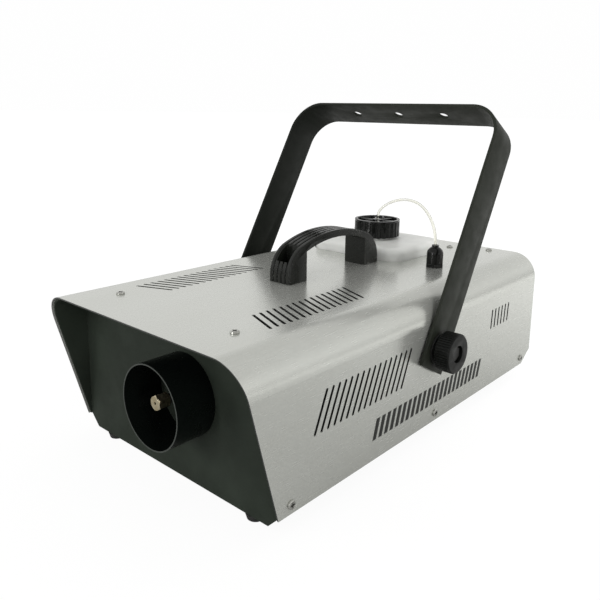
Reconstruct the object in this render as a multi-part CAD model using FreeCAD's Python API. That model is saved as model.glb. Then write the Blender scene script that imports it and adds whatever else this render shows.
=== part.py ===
import FreeCAD, Part
import math
import os

V = FreeCAD.Vector

# A fog machine: a folded steel case on a base pan, a heater with a brass nozzle in a
# shroud under a hood, a fluid tank let into the top, a solenoid pump and a tilting yoke.
# Millimetres. While it is drawn, X runs across from the middle, Y runs back from the
# cover's lower front edge, and Z runs up from the surface that the feet stand on.
# save() moves every piece so that the origin is under the middle of the whole object, whose
# rearmost piece is the ready lamp's lens.

# Case
cover_width = 250.0
cover_height = 125.0
cover_length = 421.0
hood_overhang = 34.5
cover_bend = 27.0
sheet = 1.2
case_gap = 0.3
foot_height = 5.0
pan_drop = 10.5
pan_chamfer = 11.5
pan_flange = 19.0
tail_cut_length = 20.0
tail_cut_height = 13.0
front_panel_setback = 2.5
rear_panel_setback = 1.5
screw_flange = 15.0

# Louvre slots in the cover
slot_width = 2.6
slot_pitch = 7.5
slot_count = 16
slot_lean = 13.0
top_slot_edge = 40.5
top_slot_span = 32.0
top_slot_start = 32.5
side_slot_start = 37.5
side_slot_low = 52.0
side_slot_rise = 31.0
rear_slot_count = 6
rear_slot_inset = 66.5
rear_slot_low = 64.5
rear_slot_rise = 18.0
rear_slot_lean = 1.6

# Cover screws and feet
screw_head_r = 3.6
screw_head_height = 1.9
screw_shank_r = 1.9
screw_length = 8.0
screw_hole_gap = 0.3
cross_width = 0.9
cross_depth = 1.1
top_screw_edge = 52.0
top_screw_front = 7.5
top_screw_rear = 15.0
side_screw_height = 8.0
side_screw_front = 12.5
side_screw_middle = 208.5
side_screw_rear = 24.0
foot_top_r = 8.5
foot_sole_r = 7.0
foot_inset_x = 33.0
foot_inset_y = 10.0
foot_recess_r = 4.0
foot_recess_depth = 2.6

# Nozzle, shroud and heater
nozzle_x = 22.0
nozzle_height = 65.8
nozzle_over_shroud = 1.8
shroud_r = 34.0
shroud_wall = 1.0
shroud_length = 35.0
nozzle_flats = 11.0
nozzle_length = 10.0
nozzle_recess = 5.5
orifice_r = 1.1
pipe_r = 4.0
pipe_bore_r = 1.5
pipe_hole_r = 12.0
heater_width = 46.0
heater_height = 40.0
heater_front_gap = 24.0
heater_rear_gap = 55.0
heater_bore_r = 3.0
wrap_thickness = 8.0
wrap_gap = 0.3
jacket_sheet = 1.0
bracket_width = 22.0
bracket_inset = 18.0
bracket_sheet = 2.0

# Fluid tank, cap and its tubing
tank_width = 122.0
tank_depth = 96.0
tank_left_margin = 36.0
tank_rear_gap = 52.0
tank_rise = 14.0
tank_wall = 2.2
tank_corner = 17.0
tank_shoulder = 7.0
tank_clearance = 1.2
neck_r = 20.5
neck_wall = 2.5
neck_height = 14.0
cap_r = 26.0
cap_height = 19.2
cap_lift = 2.3
cap_thread_gap = 0.4
cap_recess = 4.5
cap_rim = 3.2
cap_hub_r = 5.5
cap_grips = 26
cap_spokes = 6
gasket_thickness = 1.5
tube_r = 1.5
tube_hole_gap = 0.35
gland_flats = 17.0
gland_flange = 4.0
gland_height = 23.0
gland_nut_r = 8.6
gland_collar_r = 3.6
gland_collar_height = 2.2
gland_shoulder_height = 8.0
gland_ribs = 12
gland_shank_r = 6.0
gland_shank_length = 12.0
gland_off_middle = 3.6
gland_from_tank_y = 17.0

# The angle that holds the tank
retainer_half = 64.0
retainer_gap = 3.0
retainer_flange = 24.0
retainer_drop = 30.0
retainer_sheet = 1.5
retainer_screw_edge = 5.5

# Carry handle
handle_width = 26.0
handle_length = 138.0
handle_height = 43.2
handle_foot = 24.0
handle_grip = 6.8
handle_shoulder = 33.3
handle_shoulder_in = 17.0
handle_from_tank = 6.5
handle_ribs = 5
handle_rib_height = 1.0
pocket_width = 15.0
pocket_length = 15.0
pocket_floor = 9.0

# Yoke, its pivots and knobs
pivot_height = 74.7
pivot_from_handle = 2.3
yoke_gap = 2.7
yoke_bar = 39.2
yoke_thickness = 3.0
yoke_reach = 234.4
yoke_tail = 20.0
yoke_bend = 33.5
yoke_tilt = 29.3
yoke_hole_r = 5.25
yoke_hole_pitch = 56.0
stud_r = 4.0
stud_fit = 0.05
pad_r = 15.0
washer_r = 14.0
washer_thickness = 1.5
knob_r = 18.0
knob_rib = 0.8
knob_ribs = 48
knob_head = 14.0
knob_neck_r = 12.0
knob_neck = 4.2
knob_recess_r = 7.9
knob_recess = 6.0
bolt_head_flats = 12.0
bolt_head_height = 3.5
pivot_nut_flats = 17.0
pivot_nut_height = 10.0

# Pump
pump_from_side = 40.0
pump_from_tank = 28.0
pump_coil = 34.0
pump_coil_length = 32.0
pump_frame_sheet = 2.5
pump_barrel_r = 8.5
pump_barrel_length = 62.0
pump_bore_r = 5.0
pump_floor = 14.0
plunger_fit = 0.08
plunger_length = 26.0
plunger_bore_r = 1.6
spring_wire_r = 0.6
spring_turns = 5
spring_length = 14.0
barb_r = 2.4

# Electrics
board_width = 72.0
board_length = 120.0
board_thickness = 1.6
board_lift = 8.0
board_from_left = 14.0
board_from_front = 50.0
switch_x = -38.0
inlet_x = -84.0
fuse_x = 2.0
lamp_x = 32.0
lamp_proud = 4.3
socket_x = 70.0
rear_row = 46.0
rocker_tilt = 9.0

# Derived places
half_width = cover_width / 2
edge_z = foot_height + pan_drop
pan_bottom = foot_height
pan_floor = pan_bottom + sheet
top_z = edge_z + cover_height
inner_top = top_z - sheet
inner_side = half_width - sheet
lining = sheet + case_gap
panel_front = front_panel_setback
panel_back = panel_front + sheet
rear_outer = cover_length - rear_panel_setback
rear_inner = rear_outer - sheet
tank_x0 = tank_left_margin - half_width
tank_x1 = tank_x0 + tank_width
tank_x = (tank_x0 + tank_x1) / 2
tank_y1 = cover_length - tank_rear_gap
tank_y0 = tank_y1 - tank_depth
tank_y = (tank_y0 + tank_y1) / 2
tank_top = top_z + tank_rise
cap_bottom = tank_top + cap_lift
cap_top = cap_bottom + cap_height
handle_y = tank_y0 - handle_from_tank - handle_length / 2
pivot_y = handle_y + pivot_from_handle
pivot_z = edge_z + pivot_height
nozzle_z = edge_z + nozzle_height
shroud_z = nozzle_z - nozzle_over_shroud
heater_y0 = panel_back + heater_front_gap
heater_y1 = tank_y0 - heater_rear_gap
gland_x = (tank_x1 + half_width - cover_bend) / 2 + gland_off_middle
gland_y = tank_y0 + gland_from_tank_y
pump_x = half_width - pump_from_side
pump_y = tank_y0 - pump_from_tank
shroud_rim = panel_front - shroud_length
y_mid = (rear_outer + lamp_proud - hood_overhang) / 2


def box(x0, x1, y0, y1, z0, z1):
    return Part.makeBox(x1 - x0, y1 - y0, z1 - z0, V(x0, y0, z0))


def cyl(direction, start, radius, length):
    return Part.makeCylinder(radius, length, V(*start), V(*direction))


def tube(direction, start, outer, inner, length):
    return cyl(direction, start, outer, length).cut(cyl(direction, start, inner, length))


def polygon(points):
    return Part.Face(Part.makePolygon([V(*p) for p in points + points[:1]]))


def hexagon(direction, start, flats, length):
    """A hexagonal bar of the given width across its flats, running along X, Y or Z."""
    axis = V(*direction)
    across = V(0, 0, 1) if abs(axis.z) < 0.5 else V(1, 0, 0)
    other = axis.cross(across)
    reach = flats / math.sqrt(3)
    corners = []
    for step in range(6):
        turn = math.radians(60 * step)
        corners.append(V(*start) + across * (reach * math.cos(turn)) + other * (reach * math.sin(turn)))
    face = Part.Face(Part.makePolygon(corners + corners[:1]))
    return face.extrude(axis * length)


def cut_all(shape, tools):
    return shape.cut(Part.makeCompound(tools))


def fuse_all(shapes):
    joined = shapes[0]
    for shape in shapes[1:]:
        joined = joined.fuse(shape)
    return joined.removeSplitter()


def mirrored(shape):
    return shape.mirror(V(0, 0, 0), V(1, 0, 0))


def save(name, shapes):
    """Writes one named piece, or a group of like pieces, with the origin moved under the middle."""
    if not isinstance(shapes, list):
        shapes = [shapes]
    solids = []
    for shape in shapes:
        moved = shape.copy()
        moved.translate(V(0, -y_mid, 0))
        solids.extend(moved.Solids)
    for solid in solids:
        if not solid.isValid() or solid.Volume <= 0:
            print("bad solid in", name)
    group = solids[0] if len(solids) == 1 else Part.makeCompound(solids)
    group.exportStep("parts/" + name + ".step")
    print(name, len(solids), round(sum(s.Volume for s in solids)))


def round_path(points):
    """Straight runs joined by tangent arcs, each as large as its two runs allow."""
    corners = [V(*p) for p in points]
    edges = []
    radii = []
    here = corners[0]
    for before, corner, after in zip(corners, corners[1:], corners[2:]):
        back = before - corner
        ahead = after - corner
        shorter = min(back.Length, ahead.Length)
        half_turn = (math.pi - back.getAngle(ahead)) / 2
        reach = 0.45 * shorter
        radius = reach / math.tan(half_turn)
        radii.append(round(radius, 1))
        start = corner + back.normalize() * reach
        end = corner + ahead.normalize() * reach
        bisector = (back + ahead).normalize()
        middle = corner + bisector * (radius / math.cos(half_turn) - radius)
        edges.append(Part.LineSegment(here, start).toShape())
        edges.append(Part.Arc(start, middle, end).toShape())
        here = end
    edges.append(Part.LineSegment(here, corners[-1]).toShape())
    return Part.Wire(edges), radii


def hose(name, points, radius):
    """A hose along the rounded route, with its bend radii and its volume checked."""
    path, radii = round_path(points)
    start = V(*points[0])
    heading = V(*points[1]) - start
    ring = Part.Wire(Part.makeCircle(radius, start, heading))
    solid = path.makePipeShell([ring], True, True)
    expected = math.pi * radius ** 2 * path.Length
    print(name, "length", round(path.Length, 1), "radii", radii,
          "volume ratio", round(solid.Volume / expected, 4))
    return Part.Solid(solid) if solid.ShapeType == "Shell" else solid


def screw(place, direction, shank=screw_length):
    """A cross-recess pan head screw whose head seats at the place and whose shank goes inwards."""
    out = V(*direction)
    seat = V(*place)
    head = Part.makeCylinder(screw_head_r, screw_head_height, seat, out)
    rim = [e for e in head.Edges if abs((e.CenterOfMass - seat).dot(out) - screw_head_height) < 0.01]
    head = head.makeFillet(screw_head_height * 0.55, rim[:1])
    body = head.fuse(Part.makeCylinder(screw_shank_r, shank, seat, out * -1))
    side = V(0, 0, 1) if abs(out.z) < 0.5 else V(1, 0, 0)
    other = out.cross(side)
    for arm in (side, other):
        wide = out.cross(arm)
        low = seat + out * (screw_head_height - cross_depth)
        reach = screw_head_r * 0.55
        corners = [low + arm * (reach * a) + wide * (cross_width / 2 * b)
                   for a, b in ((-1, -1), (1, -1), (1, 1), (-1, 1))]
        bar = Part.Face(Part.makePolygon(corners + corners[:1])).extrude(out * cross_depth * 2)
        body = body.cut(bar)
    return body


def case_outline(inset, low_z):
    """The cover's arch across the case, inset all round, as a face that stands at Y = 0."""
    side = half_width - inset
    top = top_z - inset
    bend = max(cover_bend - inset, 1.0)
    slant = bend * math.sqrt(0.5)
    left = V(bend - side, 0, top - bend)
    right = V(side - bend, 0, top - bend)
    edges = [
        Part.LineSegment(V(-side, 0, low_z), V(-side, 0, top - bend)).toShape(),
        Part.Arc(V(-side, 0, top - bend), left + V(-slant, 0, slant), V(bend - side, 0, top)).toShape(),
        Part.LineSegment(V(bend - side, 0, top), V(side - bend, 0, top)).toShape(),
        Part.Arc(V(side - bend, 0, top), right + V(slant, 0, slant), V(side, 0, top - bend)).toShape(),
        Part.LineSegment(V(side, 0, top - bend), V(side, 0, low_z)).toShape(),
        Part.LineSegment(V(side, 0, low_z), V(-side, 0, low_z)).toShape(),
    ]
    return Part.Face(Part.Wire(edges))


def case_block(inset, low_z, y0, y1):
    face = case_outline(inset, low_z)
    face.translate(V(0, y0, 0))
    return face.extrude(V(0, y1 - y0, 0))


def slot_tool(start, end, width, direction, depth):
    """A round-ended slot cutter between two end centres, running along the direction."""
    a = V(*start)
    b = V(*end)
    out = V(*direction)
    along = (b - a).normalize()
    wide = out.cross(along) * (width / 2)
    edges = [
        Part.LineSegment(a + wide, b + wide).toShape(),
        Part.Arc(b + wide, b + along * (width / 2), b - wide).toShape(),
        Part.LineSegment(b - wide, a - wide).toShape(),
        Part.Arc(a - wide, a - along * (width / 2), a + wide).toShape(),
    ]
    return Part.Face(Part.Wire(edges)).extrude(out * depth)


def rounded_block(x0, x1, y0, y1, z0, z1, corner):
    block = box(x0, x1, y0, y1, z0, z1)
    upright = [e for e in block.Edges if abs(e.Vertexes[0].Z - e.Vertexes[-1].Z) > 0.5 * (z1 - z0)]
    return block.makeFillet(corner, upright)


# Where the screws go, so that covers, flanges and screws all use the same places
top_screw_x = half_width - top_screw_edge
top_screws = [(side * top_screw_x, y, top_z)
              for y in (top_screw_front, cover_length - top_screw_rear) for side in (-1, 1)]
side_screws = [(side * half_width, y, edge_z + side_screw_height)
               for y in (side_screw_front, side_screw_middle, cover_length - side_screw_rear)
               for side in (-1, 1)]
handle_ends = [handle_y + side * (handle_length / 2 - pocket_length / 2 - 3.5) for side in (-1, 1)]
retainer_screws = [(tank_x + side * (retainer_half - retainer_screw_edge),
                    tank_y1 + retainer_gap + retainer_flange - retainer_screw_edge - 1.0, top_z)
                   for side in (-1, 1)]
hole_r = screw_shank_r + screw_hole_gap


def make_cover():
    shell = case_block(0, edge_z, -hood_overhang, cover_length)
    shell = shell.cut(case_block(sheet, edge_z - 1, -hood_overhang - 1, cover_length + 1))
    profile = polygon([(-half_width - 1, 0, edge_z), (-half_width - 1, -hood_overhang, top_z),
                       (-half_width - 1, cover_length, top_z),
                       (-half_width - 1, cover_length, edge_z + tail_cut_height),
                       (-half_width - 1, cover_length - tail_cut_length, edge_z)])
    shell = shell.common(profile.extrude(V(cover_width + 2, 0, 0)))
    tools = []
    through = 4 * sheet
    for side in (-1, 1):
        outer_x = side * (half_width - top_slot_edge)
        inner_x = side * (half_width - top_slot_edge - top_slot_span)
        for step in range(slot_count):
            y = top_slot_start + step * slot_pitch
            tools.append(slot_tool((outer_x, y, top_z - through / 2),
                                   (inner_x, y + slot_lean, top_z - through / 2),
                                   slot_width, (0, 0, 1), through))
            y = side_slot_start + step * slot_pitch
            low = edge_z + side_slot_low
            tools.append(slot_tool((side * half_width - through / 2, y, low),
                                   (side * half_width - through / 2, y + slot_lean, low + side_slot_rise),
                                   slot_width, (1, 0, 0), through))
        for step in range(rear_slot_count):
            y = cover_length - rear_slot_inset - (rear_slot_count - 1 - step) * slot_pitch
            low = edge_z + rear_slot_low
            tools.append(slot_tool((side * half_width - through / 2, y - rear_slot_lean, low),
                                   (side * half_width - through / 2, y, low + rear_slot_rise),
                                   slot_width, (1, 0, 0), through))
    for x, y, z in top_screws + retainer_screws:
        tools.append(cyl((0, 0, 1), (x, y, z - through), hole_r, 2 * through))
    for x, y, z in side_screws:
        tools.append(cyl((1, 0, 0), (x - through, y, z), hole_r, 2 * through))
    for y in handle_ends:
        tools.append(cyl((0, 0, 1), (0, y, top_z - through), hole_r, 2 * through))
    tools.append(cyl((0, 0, 1), (gland_x, gland_y, top_z - through), gland_shank_r + screw_hole_gap,
                     2 * through))
    tools.append(cyl((1, 0, 0), (-half_width - 5, pivot_y, pivot_z), stud_r + screw_hole_gap,
                     cover_width + 10))
    shell = cut_all(shell, tools)
    gap = tank_clearance
    mouth = rounded_block(tank_x0 - gap, tank_x1 + gap, tank_y0 - gap, tank_y1 + gap,
                          top_z - through, top_z + through, tank_corner + gap)
    return shell.cut(mouth)


def make_front_panel():
    """The black panel under the hood, its cheeks and roof lining and the screw flange behind it."""
    side = half_width - lining
    body = case_block(lining, pan_bottom, panel_front, panel_back)
    for sign in (-1, 1):
        corner = polygon([(sign * side, 0, pan_bottom), (sign * side, 0, pan_bottom + pan_chamfer),
                          (sign * (side - pan_chamfer), 0, pan_bottom)])
        corner.translate(V(0, panel_front - 1, 0))
        body = body.cut(corner.extrude(V(0, sheet + 2, 0)))
    lining_shell = case_block(lining, edge_z, -hood_overhang, panel_front)
    lining_shell = lining_shell.cut(case_block(lining + sheet, edge_z - 1, -hood_overhang - 1,
                                               panel_front + 1))
    back_off = 1.5
    slope = polygon([(-half_width, back_off, edge_z), (-half_width, back_off - hood_overhang, top_z),
                     (-half_width, panel_front, top_z), (-half_width, panel_front, edge_z)])
    lining_shell = lining_shell.common(slope.extrude(V(cover_width, 0, 0)))
    flange_x = half_width - cover_bend - 4
    flange = box(-flange_x, flange_x, panel_back - 0.2, panel_back + screw_flange,
                 inner_top - case_gap - sheet, inner_top - case_gap)
    front_screws = [(x, y, z) for x, y, z in top_screws if y < cover_length / 2]
    tools = [cyl((0, 0, 1), (x, y, z - 10), screw_shank_r, 20) for x, y, z in front_screws]
    body = fuse_all([body, lining_shell, flange.cut(Part.makeCompound(tools))])
    return body.cut(cyl((0, 1, 0), (nozzle_x, panel_front - 5, nozzle_z), pipe_hole_r, 10))


def pan_section(inset):
    side = half_width - lining - inset
    low = pan_bottom + inset
    cut = pan_chamfer - inset * 0.6
    high = edge_z + pan_flange + inset * 2
    return polygon([(-side, 0, high), (-side, 0, low + cut), (cut - side, 0, low),
                    (side - cut, 0, low), (side, 0, low + cut), (side, 0, high)])


def pan_profile(inset):
    y0 = panel_back + (0 if inset == 0 else -1)
    y1 = rear_inner - (0 if inset == 0 else -1)
    tail = tail_cut_length + pan_drop * tail_cut_length / tail_cut_height
    slope = tail_cut_height / tail_cut_length
    turn_y = cover_length - tail + inset * 0.3
    low = pan_bottom + inset
    high = edge_z + pan_flange + inset * 2
    return polygon([(-half_width, y0, low), (-half_width, turn_y, low),
                    (-half_width, y1, low + (y1 - turn_y) * slope),
                    (-half_width, y1, high), (-half_width, y0, high)])


def pan_solid(inset):
    along = pan_section(inset)
    along.translate(V(0, -1, 0))
    block = along.extrude(V(0, cover_length + 2, 0))
    return block.common(pan_profile(inset).extrude(V(cover_width, 0, 0)))


def make_pan():
    body = pan_solid(0).cut(pan_solid(sheet))
    tools = []
    for x, y, z in side_screws:
        tools.append(cyl((1, 0, 0), (x - 8, y, z), screw_shank_r, 16))
    for x, y in foot_places:
        tools.append(cyl((0, 0, 1), (x, y, 0), screw_shank_r, 2 * pan_floor))
    return cut_all(body, tools)


foot_places = [(side * (half_width - foot_inset_x), y)
               for side in (-1, 1)
               for y in (foot_inset_y, cover_length - tail_cut_length - pan_drop * 2 - foot_inset_y)]


def make_foot(x, y):
    pad = Part.makeCone(foot_sole_r, foot_top_r, foot_height, V(x, y, 0))
    pad = pad.cut(cyl((0, 0, 1), (x, y, 0), foot_recess_r, foot_recess_depth))
    return pad.cut(cyl((0, 0, 1), (x, y, 0), screw_shank_r, foot_height))


def make_foot_screw(x, y):
    head_z = foot_recess_depth
    head = cyl((0, 0, 1), (x, y, head_z - 1.6), screw_head_r - 0.3, 1.6)
    return head.fuse(cyl((0, 0, 1), (x, y, head_z), screw_shank_r, screw_length))


# Rear panel fittings: each has its cut-out in the panel from the same sizes
rear_row_z = edge_z + rear_row
inlet_width = 27.0
inlet_tall = 20.0
inlet_depth = 22.0
inlet_flange = 4.0
panel_plate = 2.0
rocker_width = 13.0
rocker_tall = 19.0
rocker_depth = 14.0
rocker_pin_r = 1.2
frame_rim = 1.6
fuse_r = 6.5
fuse_depth = 30.0
lamp_r = 3.2
socket_r = 9.5
socket_depth = 16.0
socket_flange = 26.0


def make_rear_panel():
    low = edge_z + tail_cut_height + 1.0
    body = case_block(lining, low, rear_inner, rear_outer)
    flange_x = half_width - cover_bend - 4
    flange = box(-flange_x, flange_x, rear_inner - screw_flange, rear_inner + 0.2,
                 inner_top - case_gap - sheet, inner_top - case_gap)
    rear_screws = [(x, y, z) for x, y, z in top_screws if y > cover_length / 2]
    pilots = [cyl((0, 0, 1), (x, y, z - 10), screw_shank_r, 20) for x, y, z in rear_screws]
    body = fuse_all([body, flange.cut(Part.makeCompound(pilots))])
    deep = 3 * sheet
    y0 = rear_inner - sheet
    switch_hole_half = rocker_width / 2 + frame_rim + case_gap
    tools = [
        box(inlet_x - inlet_width / 2 - case_gap, inlet_x + inlet_width / 2 + case_gap, y0, y0 + deep,
            rear_row_z - inlet_tall / 2 - case_gap, rear_row_z + inlet_tall / 2 + case_gap),
        box(switch_x - switch_hole_half, switch_x + switch_hole_half, y0, y0 + deep,
            rear_row_z - rocker_tall / 2 - frame_rim - case_gap,
            rear_row_z + rocker_tall / 2 + frame_rim + case_gap),
        cyl((0, 1, 0), (fuse_x, y0, rear_row_z), fuse_r + case_gap, deep),
        cyl((0, 1, 0), (lamp_x, y0, rear_row_z), lamp_r + case_gap, deep),
        cyl((0, 1, 0), (socket_x, y0, rear_row_z), socket_r + case_gap, deep),
    ]
    for x, z in panel_screw_places:
        tools.append(cyl((0, 1, 0), (x, y0, z), screw_shank_r, deep))
    for step in range(rear_vents):
        x = (step - (rear_vents - 1) / 2) * rear_vent_pitch
        tools.append(slot_tool((x, y0, rear_row_z + rear_vent_low), (x, y0, rear_row_z + rear_vent_high),
                               slot_width, (0, 1, 0), deep))
    return cut_all(body, tools)


rear_vents = 14
rear_vent_pitch = slot_pitch * 1.3
rear_vent_low = 28.0
rear_vent_high = 50.0
inlet_screw_span = 40.0
panel_screw_places = [(inlet_x - inlet_screw_span / 2, rear_row_z),
                      (inlet_x + inlet_screw_span / 2, rear_row_z),
                      (socket_x - socket_flange / 2 + 3.5, rear_row_z + socket_flange / 2 - 3.5),
                      (socket_x + socket_flange / 2 - 3.5, rear_row_z - socket_flange / 2 + 3.5)]


def make_inlet():
    y_seat = rear_outer
    shell = box(inlet_x - inlet_width / 2, inlet_x + inlet_width / 2, y_seat - inlet_depth, y_seat,
                rear_row_z - inlet_tall / 2, rear_row_z + inlet_tall / 2)
    plate_half = inlet_screw_span / 2 + inlet_flange
    plate = box(inlet_x - plate_half, inlet_x + plate_half, y_seat, y_seat + panel_plate,
                rear_row_z - inlet_tall / 2 - 2, rear_row_z + inlet_tall / 2 + 2)
    body = shell.fuse(plate)
    cavity = box(inlet_x - inlet_width / 2 + 2, inlet_x + inlet_width / 2 - 2,
                 y_seat - inlet_depth + 4, y_seat + panel_plate,
                 rear_row_z - inlet_tall / 2 + 2, rear_row_z + inlet_tall / 2 - 2)
    tools = [cavity]
    for x, z in blade_places:
        tools.append(box(x - 1, x + 1, y_seat - inlet_depth - 1, y_seat, z - 2, z + 2))
    for x, z in panel_screw_places[:2]:
        tools.append(cyl((0, 1, 0), (x, y_seat - 1, z), hole_r, panel_plate + 2))
    return cut_all(body, tools)


blade_places = [(inlet_x - 7, rear_row_z - 2), (inlet_x, rear_row_z + 3), (inlet_x + 7, rear_row_z - 2)]


def make_blades():
    return [box(x - 1, x + 1, rear_outer - inlet_depth - 7, rear_outer - 3, z - 2, z + 2)
            for x, z in blade_places]


def make_rocker_frame():
    side = rocker_width / 2 + frame_rim
    tall = rocker_tall / 2 + frame_rim
    inner_x = rocker_width / 2 + case_gap
    inner_z = rocker_tall / 2 + case_gap
    body = box(switch_x - side, switch_x + side, rear_outer - rocker_depth - 4, rear_outer,
               rear_row_z - tall, rear_row_z + tall)
    bezel = box(switch_x - side - 1.5, switch_x + side + 1.5, rear_outer, rear_outer + 1.6,
                rear_row_z - tall - 1.5, rear_row_z + tall + 1.5)
    body = body.fuse(bezel)
    well = box(switch_x - inner_x, switch_x + inner_x, rear_outer - rocker_depth, rear_outer + 2,
               rear_row_z - inner_z, rear_row_z + inner_z)
    body = body.cut(well)
    pin = cyl((1, 0, 0), (switch_x - side, rocker_axis_y, rear_row_z), rocker_pin_r + stud_fit, 2 * side)
    tabs = [box(switch_x + s * 4 - 0.4, switch_x + s * 4 + 0.4, rear_outer - rocker_depth - 11,
                rear_outer - rocker_depth - 4, rear_row_z - 2.5, rear_row_z + 2.5) for s in (-1, 1)]
    return fuse_all([body.cut(pin)] + tabs)


rocker_axis_y = rear_outer - 4.5


def make_rocker():
    """A rocker with two finger faces, tipped to its off side about a pin across its middle."""
    half = rocker_tall / 2 - 1.0
    front = rear_outer + 2.4
    face = polygon([(0, rocker_axis_y - 3.5, rear_row_z - 3), (0, front - 1.0, rear_row_z - half),
                    (0, front + 0.6, rear_row_z - half), (0, front - 0.6, rear_row_z),
                    (0, front + 0.6, rear_row_z + half), (0, front - 1.0, rear_row_z + half),
                    (0, rocker_axis_y - 3.5, rear_row_z + 3)])
    wide = rocker_width - 0.4
    body = face.extrude(V(wide, 0, 0))
    body.translate(V(switch_x - wide / 2, 0, 0))
    pin_reach = rocker_width / 2 + frame_rim - 0.2
    pin = cyl((1, 0, 0), (switch_x - pin_reach, rocker_axis_y, rear_row_z), rocker_pin_r, 2 * pin_reach)
    body = body.fuse(pin).removeSplitter()
    body.rotate(V(switch_x, rocker_axis_y, rear_row_z), V(1, 0, 0), rocker_tilt)
    return body


def make_fuse_holder():
    barrel = cyl((0, 1, 0), (fuse_x, rear_outer - fuse_depth, rear_row_z), fuse_r, fuse_depth)
    lip = cyl((0, 1, 0), (fuse_x, rear_outer, rear_row_z), fuse_r + 2, 1.5)
    bore = cyl((0, 1, 0), (fuse_x, rear_outer - fuse_depth + 3, rear_row_z), fuse_bore_r, fuse_depth)
    return barrel.fuse(lip).cut(bore)


fuse_bore_r = 4.0
fuse_link_r = 2.5


def make_fuse_cap():
    plug = cyl((0, 1, 0), (fuse_x, rear_outer - 9, rear_row_z), fuse_bore_r - 0.3, 10.6)
    plug = plug.cut(cyl((0, 1, 0), (fuse_x, rear_outer - 10, rear_row_z), fuse_link_r + 0.1, 7))
    head = cyl((0, 1, 0), (fuse_x, rear_outer + 1.6, rear_row_z), fuse_r + 0.6, 2.4)
    slot = box(fuse_x - fuse_r, fuse_x + fuse_r, rear_outer + 2.8, rear_outer + 5,
               rear_row_z - 0.7, rear_row_z + 0.7)
    return plug.fuse(head).cut(slot)


def make_remote_socket():
    half = socket_flange / 2
    plate = box(socket_x - half, socket_x + half, rear_outer, rear_outer + panel_plate,
                rear_row_z - half, rear_row_z + half)
    barrel = cyl((0, 1, 0), (socket_x, rear_outer - socket_depth, rear_row_z), socket_r, socket_depth + 1)
    body = plate.fuse(barrel)
    mouth_y = rear_outer - socket_depth + 5
    tools = [cyl((0, 1, 0), (socket_x, mouth_y, rear_row_z), socket_r - 1.5, socket_depth + 5)]
    for x, z in panel_screw_places[2:]:
        tools.append(cyl((0, 1, 0), (x, rear_outer - 1, z), hole_r, 4))
    for x, z in socket_pins:
        tools.append(cyl((0, 1, 0), (x, rear_outer - socket_depth - 1, z), 1.0, 8))
    return cut_all(body, tools)


socket_pins = [(socket_x - 4, rear_row_z - 2), (socket_x, rear_row_z + 4.5), (socket_x + 4, rear_row_z - 2)]


def make_shroud():
    """A thin rolled tube welded to the front panel round the nozzle."""
    return tube((0, 1, 0), (nozzle_x, shroud_rim, shroud_z), shroud_r, shroud_r - shroud_wall,
                shroud_length)


nozzle_tip_y = shroud_rim + nozzle_recess
pipe_front = nozzle_tip_y + nozzle_length * 0.4
block_x0 = nozzle_x - heater_width / 2
block_x1 = nozzle_x + heater_width / 2
block_z0 = nozzle_z - heater_height / 2
block_z1 = nozzle_z + heater_height / 2
jacket_in = wrap_thickness + 2 * wrap_gap


def make_nozzle():
    body = hexagon((0, 1, 0), (nozzle_x, nozzle_tip_y, nozzle_z), nozzle_flats, nozzle_length)
    face = Part.makeCone(nozzle_flats * 0.5, nozzle_flats * 0.65, nozzle_length * 0.15,
                         V(nozzle_x, nozzle_tip_y, nozzle_z), V(0, 1, 0))
    face = face.fuse(cyl((0, 1, 0), (nozzle_x, nozzle_tip_y + nozzle_length * 0.15, nozzle_z),
                         nozzle_flats * 0.65, nozzle_length))
    body = body.common(face)
    body = body.cut(cyl((0, 1, 0), (nozzle_x, pipe_front, nozzle_z), pipe_r, nozzle_length))
    body = body.cut(cyl((0, 1, 0), (nozzle_x, nozzle_tip_y - 1, nozzle_z), orifice_r, nozzle_length))
    return body


def make_heater():
    block = box(block_x0, block_x1, heater_y0, heater_y1, block_z0, block_z1)
    edges = [e for e in block.Edges if abs(e.Vertexes[0].Y - e.Vertexes[-1].Y) > 1]
    block = block.makeFillet(5.0, edges)
    bore = cyl((0, 1, 0), (nozzle_x, heater_y0 - 1, nozzle_z), heater_bore_r, heater_y1 - heater_y0 + 2)
    seat = cyl((0, 1, 0), (nozzle_x, heater_y0 - 1, nozzle_z), pipe_r, 13)
    block = cut_all(block, [bore, seat])
    for side in (-1, 1):
        x = nozzle_x + side * element_spread
        block = block.cut(cyl((0, 1, 0), (x, heater_y1 - element_depth, nozzle_z + element_rise), element_r,
                              element_depth + 1))
    return block.cut(cyl((0, 1, 0), (nozzle_x, heater_y1 - 10, nozzle_z), fitting_r, 11))


element_spread = 13.0
element_rise = 9.5
element_r = 4.0
element_depth = 60.0
fitting_r = 4.5


def make_elements():
    """Two cartridge heating rods pushed into the block, each with a terminal pin."""
    rods = []
    for side in (-1, 1):
        x = nozzle_x + side * element_spread
        z = nozzle_z + element_rise
        rod = cyl((0, 1, 0), (x, heater_y1 - element_depth, z), element_r, element_depth + 6)
        pin = cyl((0, 1, 0), (x, heater_y1 + 6, z), 1.3, 12)
        rods.append(rod.fuse(pin))
    return rods


def ring_box(inner, outer, y0, y1):
    whole = box(block_x0 - outer, block_x1 + outer, y0, y1, block_z0 - outer, block_z1 + outer)
    hollow = box(block_x0 - inner, block_x1 + inner, y0 - 1, y1 + 1, block_z0 - inner, block_z1 + inner)
    return whole.cut(hollow)


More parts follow.
